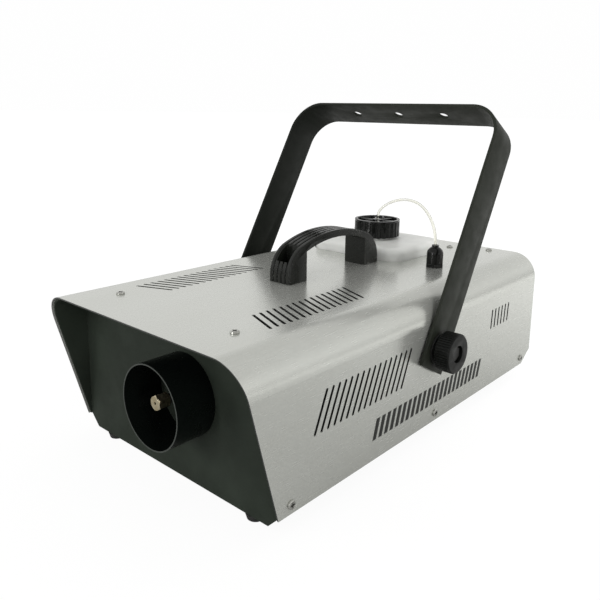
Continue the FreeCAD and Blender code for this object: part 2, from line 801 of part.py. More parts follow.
def make_brackets():
    """Two hat brackets that hold the jacketed heater up off the pan."""
    brackets = []
    low_z = block_z0 - jacket_in - jacket_sheet
    for y in (heater_y0 + bracket_inset, heater_y1 - bracket_inset - bracket_width):
        outer = box(nozzle_x - 22, nozzle_x + 22, y, y + bracket_width, pan_floor, low_z)
        inner = box(nozzle_x - 22 + bracket_sheet, nozzle_x + 22 - bracket_sheet,
                    y - 1, y + bracket_width + 1,
                    pan_floor - 1, low_z - bracket_sheet)
        feet = [box(nozzle_x + s * 29 - 8, nozzle_x + s * 29 + 8, y, y + bracket_width, pan_floor,
                    pan_floor + bracket_sheet) for s in (-1, 1)]
        brackets.append(fuse_all([outer.cut(inner)] + feet))
    return brackets


jacket_top = block_z1 + jacket_in + jacket_sheet


def make_thermostat():
    y = heater_y0 + 60
    base = cyl((0, 0, 1), (nozzle_x, y, jacket_top), 8.0, 4.0)
    ears = box(nozzle_x - 14, nozzle_x + 14, y - 4, y + 4, jacket_top, jacket_top + 1.0)
    blades = [box(nozzle_x + s * 4 - 0.4, nozzle_x + s * 4 + 0.4, y - 3, y + 3,
                  jacket_top + 4, jacket_top + 11)
              for s in (-1, 1)]
    return fuse_all([base, ears] + blades)


def make_thermal_fuse():
    y = heater_y0 + 90
    r = 2.2
    body = cyl((0, 1, 0), (nozzle_x, y, jacket_top + r), r, 14)
    leads = cyl((0, 1, 0), (nozzle_x, y - 12, jacket_top + r), 0.6, 38)
    return body.fuse(leads)


def make_tank():
    low = pan_floor + tray_sheet
    outer = rounded_block(tank_x0, tank_x1, tank_y0, tank_y1, low, tank_top, tank_corner)
    rim = [e for e in outer.Edges if e.BoundBox.ZMin > tank_top - 0.01]
    outer = outer.makeFillet(tank_shoulder, rim)
    w = tank_wall
    inner = rounded_block(tank_x0 + w, tank_x1 - w, tank_y0 + w, tank_y1 - w, low + w, tank_top - w,
                          tank_corner - w)
    rim = [e for e in inner.Edges if e.BoundBox.ZMin > tank_top - w - 0.01]
    inner = inner.makeFillet(tank_shoulder - w, rim)
    neck = cyl((0, 0, 1), (tank_x, tank_y, tank_top - w), neck_r, w + neck_height)
    bore = cyl((0, 0, 1), (tank_x, tank_y, tank_top - w - 1), neck_r - neck_wall, neck_height + w + 2)
    return outer.cut(inner).fuse(neck).cut(bore)


tray_sheet = 1.0
tray_lip = 14.0
tray_gap = 0.6


def make_tray():
    g = tray_gap
    e = g + tray_sheet
    tray_top = pan_floor + tray_lip
    outer = rounded_block(tank_x0 - e, tank_x1 + e, tank_y0 - e, tank_y1 + e, pan_floor, tray_top,
                          tank_corner + e)
    inner = rounded_block(tank_x0 - g, tank_x1 + g, tank_y0 - g, tank_y1 + g, pan_floor + tray_sheet,
                          tray_top + 1, tank_corner + g)
    return outer.cut(inner)


def make_retainer():
    """An angle under the cover, behind the tank, that keeps the tank from sliding back."""
    x0 = tank_x - retainer_half
    x1 = tank_x + retainer_half
    y0 = tank_y1 + retainer_gap
    top = inner_top - case_gap
    flat = box(x0, x1, y0, y0 + retainer_flange, top - retainer_sheet, top)
    drop = box(x0, x1, y0, y0 + retainer_sheet, top - retainer_drop, top)
    tools = [cyl((0, 0, 1), (x, y, z - 10), screw_shank_r, 20) for x, y, z in retainer_screws]
    return cut_all(flat.fuse(drop), tools)


neck_top = tank_top + neck_height


def make_cap():
    skirt = cyl((0, 0, 1), (tank_x, tank_y, cap_bottom), cap_r, cap_height)
    ceiling = neck_top + gasket_thickness + 0.1
    hollow_r = neck_r + cap_thread_gap
    skirt = skirt.cut(cyl((0, 0, 1), (tank_x, tank_y, cap_bottom - 1), hollow_r, ceiling - cap_bottom + 1))
    recess = cyl((0, 0, 1), (tank_x, tank_y, cap_top - cap_recess), cap_r - cap_rim, cap_recess + 1)
    skirt = skirt.cut(recess)
    ribs = [cyl((0, 0, 1), (tank_x, tank_y, cap_top - cap_recess - 0.2), cap_hub_r, cap_recess - 0.3)]
    for step in range(cap_spokes):
        spoke = box(0, cap_r - cap_rim + 0.5, -1.1, 1.1, cap_top - cap_recess - 0.2, cap_top - 1.0)
        spoke.rotate(V(0, 0, 0), V(0, 0, 1), 360.0 / cap_spokes * step + 12)
        spoke.translate(V(tank_x, tank_y, 0))
        ribs.append(spoke)
    skirt = fuse_all([skirt] + ribs)
    tools = [cyl((0, 0, 1), (tank_x, tank_y, cap_bottom), tube_r + tube_hole_gap, cap_height + 2)]
    for step in range(cap_grips):
        turn = 2 * math.pi * step / cap_grips
        x = tank_x + (cap_r + 0.7) * math.cos(turn)
        y = tank_y + (cap_r + 0.7) * math.sin(turn)
        tools.append(cyl((0, 0, 1), (x, y, cap_bottom - 1), 1.9, cap_height - 1.0))
    return cut_all(skirt, tools)


# The clear hose from the cap over to the gland, seen in the upright plane through both
hose_route = [(0.0, -6.0), (0.0, 5.4), (7.4, 13.4), (21.5, 21.0), (38.5, 26.6), (57.0, 28.9),
              (74.5, 26.9), (88.0, 19.7), (98.2, 8.5), (103.5, -5.5), (103.5, -19.0)]


def along_hose(reach, rise):
    span = V(gland_x - tank_x, gland_y - tank_y, 0)
    share = reach / hose_route[-1][0]
    return (tank_x + span.x * share, tank_y + span.y * share, cap_top + rise)


def make_gland():
    """Body with a hexagonal flange, its dome nut, and the lock nut under the cover."""
    hole = tube_r + tube_hole_gap
    body = hexagon((0, 0, 1), (gland_x, gland_y, top_z), gland_flats, gland_flange)
    shank_low = top_z - gland_shank_length
    body = body.fuse(cyl((0, 0, 1), (gland_x, gland_y, shank_low), gland_shank_r,
                         gland_shank_length + gland_flange + 5))
    body = body.cut(cyl((0, 0, 1), (gland_x, gland_y, shank_low - 1), hole, gland_height + 20))
    nut_low = top_z + gland_flange + 0.2
    nut_top = top_z + gland_height
    wide = gland_nut_r
    neck = gland_collar_r
    neck_low = nut_top - gland_collar_height
    shoulder = neck_low - gland_shoulder_height
    bulge = V(wide - (wide - neck) * 0.3, 0, shoulder + gland_shoulder_height * 0.66)
    profile = [
        Part.LineSegment(V(0, 0, nut_low), V(wide, 0, nut_low)).toShape(),
        Part.LineSegment(V(wide, 0, nut_low), V(wide, 0, shoulder)).toShape(),
        Part.Arc(V(wide, 0, shoulder), bulge, V(neck, 0, neck_low)).toShape(),
        Part.LineSegment(V(neck, 0, neck_low), V(neck, 0, nut_top)).toShape(),
        Part.LineSegment(V(neck, 0, nut_top), V(0, 0, nut_top)).toShape(),
        Part.LineSegment(V(0, 0, nut_top), V(0, 0, nut_low)).toShape(),
    ]
    dome = Part.Face(Part.Wire(profile)).revolve(V(0, 0, 0), V(0, 0, 1), 360)
    dome.translate(V(gland_x, gland_y, 0))
    tools = [cyl((0, 0, 1), (gland_x, gland_y, nut_low - 1), hole, gland_height + 5),
             cyl((0, 0, 1), (gland_x, gland_y, nut_low - 1), gland_shank_r + 0.1, 6.2)]
    for step in range(gland_ribs):
        turn = 2 * math.pi * step / gland_ribs
        x = gland_x + (wide + 0.35) * math.cos(turn)
        y = gland_y + (wide + 0.35) * math.sin(turn)
        tools.append(cyl((0, 0, 1), (x, y, nut_low - 1), 0.9, nut_top - nut_low - 8))
    dome = cut_all(dome, tools)
    lock = hexagon((0, 0, 1), (gland_x, gland_y, inner_top - 5), gland_flats, 5)
    lock = lock.cut(cyl((0, 0, 1), (gland_x, gland_y, inner_top - 6), gland_shank_r, 8))
    return body, dome, lock


def handle_profile(inset):
    """The arch seen from the side: two upright feet, rounded shoulders and a shallow crown."""
    half = handle_length / 2 - inset
    crown = handle_height - inset
    leg = handle_length / 2 - handle_foot
    low_crown = handle_height - handle_grip
    eave = handle_shoulder - inset
    step_in = handle_length / 2 - handle_shoulder_in
    base = 0.0

    def at(y, z):
        return V(-handle_width / 2, handle_y + y, top_z + z)

    start_z = 3.0
    side_z = start_z + (eave - start_z) * 0.63
    side_y = half - (half - step_in) * 0.27
    edges = [
        Part.LineSegment(at(-half, base), at(-half, start_z)).toShape(),
        Part.Arc(at(-half, start_z), at(-side_y, side_z), at(-step_in, eave)).toShape(),
        Part.Arc(at(-step_in, eave), at(0, crown), at(step_in, eave)).toShape(),
        Part.Arc(at(step_in, eave), at(side_y, side_z), at(half, start_z)).toShape(),
        Part.LineSegment(at(half, start_z), at(half, base)).toShape(),
        Part.LineSegment(at(half, base), at(leg, base)).toShape(),
        Part.LineSegment(at(leg, base), at(leg, low_crown - 8)).toShape(),
        Part.Arc(at(leg, low_crown - 8), at(0, low_crown), at(-leg, low_crown - 8)).toShape(),
        Part.LineSegment(at(-leg, low_crown - 8), at(-leg, base)).toShape(),
        Part.LineSegment(at(-leg, base), at(-half, base)).toShape(),
    ]
    return Part.Face(Part.Wire(edges))


def make_handle():
    core = handle_profile(handle_rib_height).extrude(V(handle_width, 0, 0))
    pitch = handle_width / handle_ribs
    wide = pitch * 0.68
    blades = []
    for step in range(handle_ribs):
        blade = handle_profile(0).extrude(V(wide, 0, 0))
        blade.translate(V(pitch * step + (pitch - wide) / 2, 0, 0))
        blades.append(blade)
    body = fuse_all([core] + blades)
    tools = []
    for y in handle_ends:
        tools.append(box(-pocket_width / 2, pocket_width / 2, y - pocket_length / 2, y + pocket_length / 2,
                         top_z + pocket_floor, top_z + handle_height))
        tools.append(cyl((0, 0, 1), (0, y, top_z - 1), hole_r, pocket_floor + 3))
    return cut_all(body, tools)


yoke_inner = half_width + yoke_gap
yoke_outer = yoke_inner + yoke_thickness


def lean_back(shape):
    """Tips a yoke piece, drawn upright, back to its rest angle about the pivot."""
    shape.rotate(V(0, pivot_y, pivot_z), V(1, 0, 0), -yoke_tilt)
    return shape


def bar_outline(x, reach, bend, low_z):
    slant = bend * math.sqrt(0.5)
    top = pivot_z + reach
    y = pivot_y - yoke_bar / 2
    edges = [
        Part.LineSegment(V(-x, y, low_z), V(-x, y, top - bend)).toShape(),
        Part.Arc(V(-x, y, top - bend), V(bend - x - slant, y, top - bend + slant),
                 V(bend - x, y, top)).toShape(),
        Part.LineSegment(V(bend - x, y, top), V(x - bend, y, top)).toShape(),
        Part.Arc(V(x - bend, y, top), V(x - bend + slant, y, top - bend + slant),
                 V(x, y, top - bend)).toShape(),
        Part.LineSegment(V(x, y, top - bend), V(x, y, low_z)).toShape(),
        Part.LineSegment(V(x, y, low_z), V(-x, y, low_z)).toShape(),
    ]
    return Part.Face(Part.Wire(edges)).extrude(V(0, yoke_bar, 0))


def make_yoke():
    low = pivot_z - yoke_tail
    outer = bar_outline(yoke_outer, yoke_reach + yoke_thickness, yoke_bend, low)
    inner = bar_outline(yoke_inner, yoke_reach, yoke_bend - yoke_thickness, low - 1)
    bar = outer.cut(inner)
    tools = [cyl((1, 0, 0), (-yoke_outer - 1, pivot_y, pivot_z), stud_r + stud_fit, 2 * yoke_outer + 2)]
    for step in (-1, 0, 1):
        place = (step * yoke_hole_pitch, pivot_y, pivot_z + yoke_reach - 1)
        tools.append(cyl((0, 0, 1), place, yoke_hole_r, yoke_thickness + 2))
    return lean_back(cut_all(bar, tools))


neck_start = yoke_outer + washer_thickness
head_start = neck_start + knob_neck
knob_face = head_start + knob_head
head_seat = knob_face - knob_recess


def make_knob():
    """The right-hand knob: a ribbed round head on a short neck, recessed round its bolt head."""
    points = []
    groove_r = knob_r - knob_rib
    for step in range(knob_ribs):
        for part, radius in ((0.0, knob_r), (0.45, knob_r), (0.6, groove_r), (0.85, groove_r)):
            turn = 2 * math.pi * (step + part) / knob_ribs
            points.append((head_start, pivot_y + radius * math.cos(turn),
                           pivot_z + radius * math.sin(turn)))
    head = polygon(points).extrude(V(knob_head, 0, 0))
    bevel = Part.makeCone(knob_r + 3, knob_r - 1.2, 4.2, V(knob_face - 4.2, pivot_y, pivot_z), V(1, 0, 0))
    bevel = bevel.fuse(cyl((1, 0, 0), (head_start - 1, pivot_y, pivot_z), knob_r + 3, knob_head - 3.2))
    head = head.common(bevel)
    neck = cyl((1, 0, 0), (neck_start, pivot_y, pivot_z), knob_neck_r, knob_neck + 1)
    body = head.fuse(neck)
    body = body.cut(cyl((1, 0, 0), (head_seat, pivot_y, pivot_z), knob_recess_r, knob_recess + 1))
    return body.cut(cyl((1, 0, 0), (neck_start - 1, pivot_y, pivot_z), stud_r, knob_head + knob_neck + 2))


def make_bolt():
    """The bolt that the knob turns: its hexagon head is sunk in the knob's recess."""
    start = inner_side - pivot_nut_height - 3
    shank = cyl((1, 0, 0), (start, pivot_y, pivot_z), stud_r, head_seat + 1 - start)
    head = hexagon((1, 0, 0), (head_seat, pivot_y, pivot_z), bolt_head_flats, bolt_head_height)
    return head.fuse(shank)


def make_pivot_nut():
    x = inner_side - pivot_nut_height
    nut = hexagon((1, 0, 0), (x, pivot_y, pivot_z), pivot_nut_flats, pivot_nut_height)
    return nut.cut(cyl((1, 0, 0), (x - 1, pivot_y, pivot_z), stud_r + stud_fit, pivot_nut_height + 2))


# Pump: coil in a steel frame round a plastic barrel, with a sprung plunger inside
coil_y0 = pump_y - pump_coil_length / 2
coil_y1 = pump_y + pump_coil_length / 2
pump_z = pan_floor + pump_floor + pump_coil / 2
barrel_y0 = pump_y - pump_barrel_length / 2
barrel_y1 = pump_y + pump_barrel_length / 2
elbow_rise = 14.0
elbow_inset = 5.0


def make_pump_barrel():
    """The plastic barrel with an elbow barb at each end, both pointing up."""
    body = cyl((0, 1, 0), (pump_x, barrel_y0, pump_z), pump_barrel_r, pump_barrel_length)
    for y in (barrel_y0 + elbow_inset, barrel_y1 - elbow_inset):
        body = body.fuse(cyl((0, 0, 1), (pump_x, y, pump_z), 3.6, pump_barrel_r + elbow_rise - 6))
        body = body.fuse(cyl((0, 0, 1), (pump_x, y, pump_z), barb_r, pump_barrel_r + elbow_rise))
    bore = cyl((0, 1, 0), (pump_x, barrel_y0 + 3, pump_z), pump_bore_r, pump_barrel_length - 6)
    tools = [bore]
    for y in (barrel_y0 + elbow_inset, barrel_y1 - elbow_inset):
        tools.append(cyl((0, 0, 1), (pump_x, y, pump_z), 1.2, pump_barrel_r + elbow_rise + 1))
    return cut_all(body, tools)


def make_pump_coil():
    half = pump_coil / 2
    block = box(pump_x - half, pump_x + half, coil_y0, coil_y1, pump_z - half, pump_z + half)
    edges = [e for e in block.Edges if abs(e.Vertexes[0].Y - e.Vertexes[-1].Y) > 1]
    block = block.makeFillet(6.0, edges)
    tabs = [box(pump_x + s * 8 - 3, pump_x + s * 8 + 3, coil_y0 + 6, coil_y0 + 6.8,
                pump_z + half - 1, pump_z + half + 7)
            for s in (-1, 1)]
    block = fuse_all([block] + tabs)
    return block.cut(cyl((0, 1, 0), (pump_x, coil_y0 - 1, pump_z), pump_barrel_r + 0.1,
                         pump_coil_length + 2))


def make_pump_frame():
    half = pump_coil / 2
    t = pump_frame_sheet
    low = pump_z - half - t
    base = box(pump_x - half, pump_x + half, coil_y0 - t, coil_y1 + t, low, low + t - 0.1)
    parts = [base]
    for y in (coil_y0 - t, coil_y1):
        wall = box(pump_x - half, pump_x + half, y, y + t, low, pump_z + half)
        parts.append(wall.cut(cyl((0, 1, 0), (pump_x, y - 1, pump_z), pump_barrel_r + 0.1, t + 2)))
    return fuse_all(parts)


def make_pump_mounts():
    """Two rubber blocks that keep the pump's hum off the pan."""
    top = pump_z - pump_coil / 2 - pump_frame_sheet
    return [box(pump_x - 10, pump_x + 10, pump_y + s * 12 - 4, pump_y + s * 12 + 4, pan_floor, top)
            for s in (-1, 1)]


plunger_y0 = pump_y - 17.0


def make_plunger():
    r = pump_bore_r - plunger_fit
    body = cyl((0, 1, 0), (pump_x, plunger_y0, pump_z), r, plunger_length)
    return body.cut(cyl((0, 1, 0), (pump_x, plunger_y0 - 1, pump_z), plunger_bore_r, plunger_length + 2))


def make_spring():
    """A coil spring between the plunger's rear end and the barrel's inner end."""
    start_y = plunger_y0 + plunger_length + spring_wire_r + 0.1
    radius = pump_bore_r - spring_wire_r - 0.5
    helix = Part.makeHelix((spring_length - 2 * spring_wire_r) / spring_turns,
                           spring_length - 2 * spring_wire_r, radius)
    ring = Part.Wire(Part.makeCircle(spring_wire_r, V(radius, 0, 0), V(0, 1, 0)))
    coil = Part.Wire(helix.Edges).makePipeShell([ring], True, True)
    coil.rotate(V(0, 0, 0), V(1, 0, 0), -90)
    coil.translate(V(pump_x, start_y, pump_z))
    return Part.Solid(coil) if coil.ShapeType == "Shell" else coil


board_x0 = board_from_left - half_width + lining
board_y0 = panel_back + board_from_front
board_z = pan_floor + board_lift
board_top = board_z + board_thickness
board_holes = [(board_x0 + x, board_y0 + y) for x in (5, board_width - 5) for y in (5, board_length - 5)]


def make_board():
    plate = box(board_x0, board_x0 + board_width, board_y0, board_y0 + board_length, board_z, board_top)
    return cut_all(plate, [cyl((0, 0, 1), (x, y, board_z - 1), 1.6, 4) for x, y in board_holes])


def make_standoffs():
    posts = []
    for x, y in board_holes:
        post = hexagon((0, 0, 1), (x, y, pan_floor), 5.5, board_lift)
        posts.append(post.fuse(cyl((0, 0, 1), (x, y, board_z), 1.5, 4)))
    return posts


def make_transformer():
    x = board_x0 + 40
    y = board_y0 + 30
    core = box(x - 19, x + 19, y - 16, y + 16, board_top + 3, board_top + 21)
    winding = box(x - 12, x + 12, y - 14, y + 14, board_top, board_top + 30)
    return fuse_all([core, winding])


def make_relay():
    x = board_x0 + 18
    y = board_y0 + 66
    return [box(x - 9, x + 9, y - 11, y + 11, board_top, board_top + 16),
            box(x + 13, x + 27, y - 8, y + 8, board_top, board_top + 14)]


def make_terminal_block():
    x0 = board_x0 + 10
    y0 = board_y0 + board_length - 22
    body = box(x0, x0 + 48, y0, y0 + 11, board_top, board_top + 13)
    tools = [cyl((0, 0, 1), (x0 + 4 + 8 * n, y0 + 4, board_top + 6), 2.6, 10) for n in range(6)]
    tools += [box(x0 + 1.5 + 8 * n, x0 + 6.5 + 8 * n, y0 + 5, y0 + 12, board_top + 1.5, board_top + 5.5)
              for n in range(6)]
    return cut_all(body, tools)


def make_all():
    os.makedirs("parts", exist_ok=True)
    save("top_cover", make_cover())
    save("front_panel", make_front_panel())
    save("base_pan", make_pan())
    save("rear_panel", make_rear_panel())
    save("rubber_feet", [make_foot(x, y) for x, y in foot_places])
    save("foot_screws", [make_foot_screw(x, y) for x, y in foot_places])
    screws = [screw(place, (0, 0, 1)) for place in top_screws + retainer_screws]
    screws += [screw(place, (math.copysign(1, place[0]), 0, 0)) for place in side_screws]
    screws += [screw((x, rear_outer + panel_plate, z), (0, 1, 0)) for x, z in panel_screw_places]
    save("case_screws", screws)

    save("nozzle_shroud", make_shroud())
    save("nozzle_tip", make_nozzle())
    save("nozzle_pipe", tube((0, 1, 0), (nozzle_x, pipe_front, nozzle_z), pipe_r, pipe_bore_r,
                             heater_y0 + 12 - pipe_front))
    save("heater_block", make_heater())
    save("heating_elements", make_elements())
    save("heater_wrap", ring_box(wrap_gap, wrap_gap + wrap_thickness, heater_y0, heater_y1))
    save("heater_jacket", ring_box(jacket_in, jacket_in + jacket_sheet, heater_y0, heater_y1))
    save("heater_brackets", make_brackets())
    save("thermostat", make_thermostat())
    save("thermal_fuse", make_thermal_fuse())
    fitting_y = heater_y1 - 10
    fitting = cyl((0, 1, 0), (nozzle_x, fitting_y, nozzle_z), fitting_r, 12)
    fitting = fitting.fuse(hexagon((0, 1, 0), (nozzle_x, heater_y1, nozzle_z), 11.0, 12))
    fitting = fitting.fuse(cyl((1, 0, 0), (nozzle_x, heater_y1 + 6, nozzle_z), barb_r, 17))
    save("inlet_fitting", fitting)

    save("fluid_tank", make_tank())
    save("tank_tray", make_tray())
    save("tank_retainer", make_retainer())
    save("tank_cap", make_cap())
    save("cap_gasket", tube((0, 0, 1), (tank_x, tank_y, neck_top + 0.05), neck_r - 0.2,
                            tube_r + tube_hole_gap, gasket_thickness))
    suction_low = pan_floor + tray_sheet + tank_wall + 2
    filter_height = 18.0
    hose_bottom = cap_top + hose_route[0][1]
    save("suction_tube", cyl((0, 0, 1), (tank_x, tank_y, suction_low + filter_height), tube_r,
                             hose_bottom - suction_low - filter_height))
    save("suction_filter", cyl((0, 0, 1), (tank_x, tank_y, suction_low), 6.0, filter_height))
    route = [along_hose(reach, rise) for reach, rise in hose_route]
    save("fluid_hose", hose("fluid_hose", route, tube_r))
    body, dome, lock = make_gland()
    save("gland_body", body)
    save("gland_nut", dome)
    save("gland_lock_nut", lock)
    low = top_z - gland_shank_length
    in_y = barrel_y1 - elbow_inset
    in_z = pump_z + pump_barrel_r + elbow_rise
    feed = [(gland_x, gland_y, low), (gland_x, gland_y, low - 20),
            (pump_x, in_y, in_z + 20), (pump_x, in_y, in_z)]
    save("feed_tube", hose("feed_tube", feed, tube_r))
    out_y = barrel_y0 + elbow_inset
    end_x = nozzle_x + 17
    end_y = heater_y1 + 6
    pressure = [(pump_x, out_y, in_z), (pump_x, out_y, in_z + 18),
                (pump_x - 17, out_y + (end_y - out_y) * 0.5, in_z + 29),
                (end_x + 18, end_y, nozzle_z), (end_x, end_y, nozzle_z)]
    save("pressure_tube", hose("pressure_tube", pressure, tube_r))

    save("carry_handle", make_handle())
    save("handle_screws", [screw((0, y, top_z + pocket_floor), (0, 0, 1), pocket_floor + 6)
                           for y in handle_ends])

    save("yoke", make_yoke())
    pads = [tube((1, 0, 0), (half_width, pivot_y, pivot_z), pad_r, stud_r + screw_hole_gap, yoke_gap)]
    save("pivot_pads", pads + [mirrored(pads[0])])
    rings = [tube((1, 0, 0), (yoke_outer, pivot_y, pivot_z), washer_r, stud_r + screw_hole_gap,
                  washer_thickness)]
    save("knob_washers", rings + [mirrored(rings[0])])
    save("pivot_nuts", [make_pivot_nut(), mirrored(make_pivot_nut())])
    save("right_knob", make_knob())
    save("left_knob", mirrored(make_knob()))
    save("right_bolt", make_bolt())
    save("left_bolt", mirrored(make_bolt()))

    save("pump_barrel", make_pump_barrel())
    save("pump_coil", make_pump_coil())
    save("pump_frame", make_pump_frame())
    save("pump_mounts", make_pump_mounts())
    save("pump_plunger", make_plunger())
    save("pump_spring", make_spring())

    save("control_board", make_board())
    save("board_standoffs", make_standoffs())
    save("transformer", make_transformer())
    save("relays", make_relay())
    save("terminal_block", make_terminal_block())
    save("power_inlet", make_inlet())
    save("inlet_blades", make_blades())
    save("rocker_frame", make_rocker_frame())
    save("rocker_button", make_rocker())
    save("fuse_holder", make_fuse_holder())
    save("fuse_cap", make_fuse_cap())
    save("remote_socket", make_remote_socket())
    dome_y = rear_outer + lamp_proud - lamp_r
    lens = cyl((0, 1, 0), (lamp_x, rear_outer - 8, rear_row_z), lamp_r, dome_y - rear_outer + 8)
    save("ready_lamp", lens.fuse(Part.makeSphere(lamp_r, V(lamp_x, dome_y, rear_row_z))))


make_all()
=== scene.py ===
import math
import bmesh
import bpy
from mathutils import Matrix, Vector


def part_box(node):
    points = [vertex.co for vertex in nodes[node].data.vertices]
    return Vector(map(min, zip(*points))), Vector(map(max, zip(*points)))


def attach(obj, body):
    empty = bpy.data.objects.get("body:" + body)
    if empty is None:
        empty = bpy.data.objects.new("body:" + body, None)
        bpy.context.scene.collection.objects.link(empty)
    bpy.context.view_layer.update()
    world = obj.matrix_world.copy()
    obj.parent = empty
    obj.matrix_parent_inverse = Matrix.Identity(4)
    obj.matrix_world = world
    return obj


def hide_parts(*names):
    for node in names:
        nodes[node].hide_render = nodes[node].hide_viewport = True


# A stage fog machine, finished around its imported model. Metres, +Z up, the nozzle faces -Y
# and the origin is on the floor under the middle. The sections follow the order in which the
# machine goes together: the base and what stands on it, the cover, what is fitted on and
# through the cover, and last the studio.

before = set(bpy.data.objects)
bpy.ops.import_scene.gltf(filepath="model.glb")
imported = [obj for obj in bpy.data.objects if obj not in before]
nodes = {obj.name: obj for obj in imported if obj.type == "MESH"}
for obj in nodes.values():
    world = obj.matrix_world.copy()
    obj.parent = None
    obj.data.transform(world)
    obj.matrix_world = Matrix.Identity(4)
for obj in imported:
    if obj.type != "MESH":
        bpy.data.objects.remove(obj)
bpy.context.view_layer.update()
scene = bpy.context.scene


# ---------------------------------------------------------------- base pan, feet
# The pan is one folded steel sheet, stove-painted black inside and out. Its rubber feet are
# moulded and each is held by a screw sunk in its recess.


def material(name, colour, roughness, metallic=0.0, **even):
    """A material whose shader starts with these values, the same all over."""
    made = bpy.data.materials.new(name)
    made.use_nodes = True
    shader = made.node_tree.nodes["Principled BSDF"]
    shader.inputs["Base Color"].default_value = (*colour, 1.0)
    shader.inputs["Roughness"].default_value = roughness
    shader.inputs["Metallic"].default_value = metallic
    for socket, value in even.items():
        shader.inputs[socket.replace("_", " ")].default_value = value
    return made


def add(made, kind, inputs=(), **settings):
    """Adds one shader node. An input takes a plain value or another node's output."""
    node = made.node_tree.nodes.new("ShaderNode" + kind)
    for key, value in settings.items():
        setattr(node, key, value)
    for key, value in dict(inputs).items():
        if isinstance(value, bpy.types.NodeSocket):
            made.node_tree.links.new(value, node.inputs[key])
        else:
            node.inputs[key].default_value = value
    return node


def wire(made, socket, output):
    """Feeds a socket of the shader from another node."""
    shader = made.node_tree.nodes["Principled BSDF"]
    made.node_tree.links.new(output, shader.inputs[socket])


def speckle(made, size, stretch=(1.0, 1.0, 1.0), detail=3.0):
    """Noise whose blotches are about this size in metres, drawn out where stretch is under 1."""
    place = add(made, "TexCoord").outputs["Object"]
    drawn = add(made, "Mapping", {"Vector": place, "Scale": stretch}).outputs["Vector"]
    noise = add(made, "TexNoise", {"Vector": drawn, "Scale": 1.0 / size, "Detail": detail})
    return noise.outputs["Fac"]


def between(made, value, low, high, start=0.3, end=0.7):
    """Turns a value from start to end into one from low to high. Noise runs from 0.3 to 0.7."""
    spans = {"From Min": start, "From Max": end, "To Min": low, "To Max": high}
    ramp = add(made, "MapRange", {"Value": value, **spans})
    return ramp.outputs["Result"]


def mixed(made, share, first, second):
    """Blends two colours, each a colour or another node's output."""
    blend = add(made, "Mix", data_type="RGBA")
    colours = [socket for socket in blend.inputs if socket.type == "RGBA"]
    made.node_tree.links.new(share, blend.inputs[0])
    for socket, colour in zip(colours, (first, second)):
        if isinstance(colour, bpy.types.NodeSocket):
            made.node_tree.links.new(colour, socket)
        else:
            socket.default_value = (*colour, 1.0)
    return [socket for socket in blend.outputs if socket.type == "RGBA"][0]


def relief(made, height, depth):
    """Raises the surface by up to depth metres where the height is 1."""
    bump = add(made, "Bump", {"Height": height, "Distance": depth, "Strength": 1.0})
    wire(made, "Normal", bump.outputs["Normal"])


def coat(made, *names):
    """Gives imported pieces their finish."""
    for name in names:
        piece = nodes[name]
        for place in piece.material_slots:
            place.link = "OBJECT"
            place.material = made


def edge_mask(made, radius):
    """1 along sharp edges and 0 on the flats, from how a rounded corner would turn."""
    rounded = add(made, "Bevel", {"Radius": radius}, samples=6).outputs["Normal"]
    flat = add(made, "NewGeometry").outputs["Normal"]
    turn = add(made, "VectorMath", {0: rounded, 1: flat}, operation="DOT_PRODUCT").outputs["Value"]
    return between(made, turn, 1.0, 0.0, start=0.80, end=0.985)


def black_paint(name, colour, roughness, grit, depth, shine=0.30):
    """Satin black paint: fine orange peel, faint dust in blotches, and rubbed edges."""
    made = material(name, colour, roughness, Specular_IOR_Level=shine)
    dust = between(made, speckle(made, 0.035, detail=5.0), 0.0, 0.35, start=0.45, end=0.75)
    dull = tuple(c * 1.8 + 0.004 for c in colour)
    rubbed = tuple(c * 3.0 + 0.010 for c in colour)
    base = mixed(made, dust, colour, dull)
    edges = edge_mask(made, 0.0006)
    patches = between(made, speckle(made, 0.006), 0.1, 0.8)
    wear = add(made, "Math", {0: edges, 1: patches}, operation="MULTIPLY").outputs["Value"]
    wire(made, "Base Color", mixed(made, wear, base, rubbed))
    wire(made, "Roughness", between(made, speckle(made, 0.012), roughness - 0.07, roughness + 0.07))
    relief(made, speckle(made, grit, detail=2.0), depth)
    return made


pan_black = black_paint("pan_black", (0.020, 0.021, 0.019), 0.46, grit=0.0008, depth=0.00003)
coat(pan_black, "base_pan", "rear_panel")

foot_rubber = material("foot_rubber", (0.016, 0.016, 0.016), 0.78)
rubber_bloom = between(foot_rubber, speckle(foot_rubber, 0.004), 0.0, 1.0)
rubber_tone = mixed(foot_rubber, rubber_bloom, (0.012, 0.012, 0.012), (0.030, 0.030, 0.028))
wire(foot_rubber, "Base Color", rubber_tone)
relief(foot_rubber, speckle(foot_rubber, 0.0005), 0.00004)
coat(foot_rubber, "rubber_feet", "pivot_pads", "pump_mounts", "cap_gasket")


# ---------------------------------------------------------------- front panel and hood
# The nozzle panel and the hood's lining are one part of steel sheet, in a dull black paint. A
# flange along its top is screwed up under the lid.
hood_black = black_paint("hood_black", (0.0205, 0.0258, 0.0198), 0.55, grit=0.0009,
                         depth=0.000025, shine=0.12)
coat(hood_black, "front_panel")


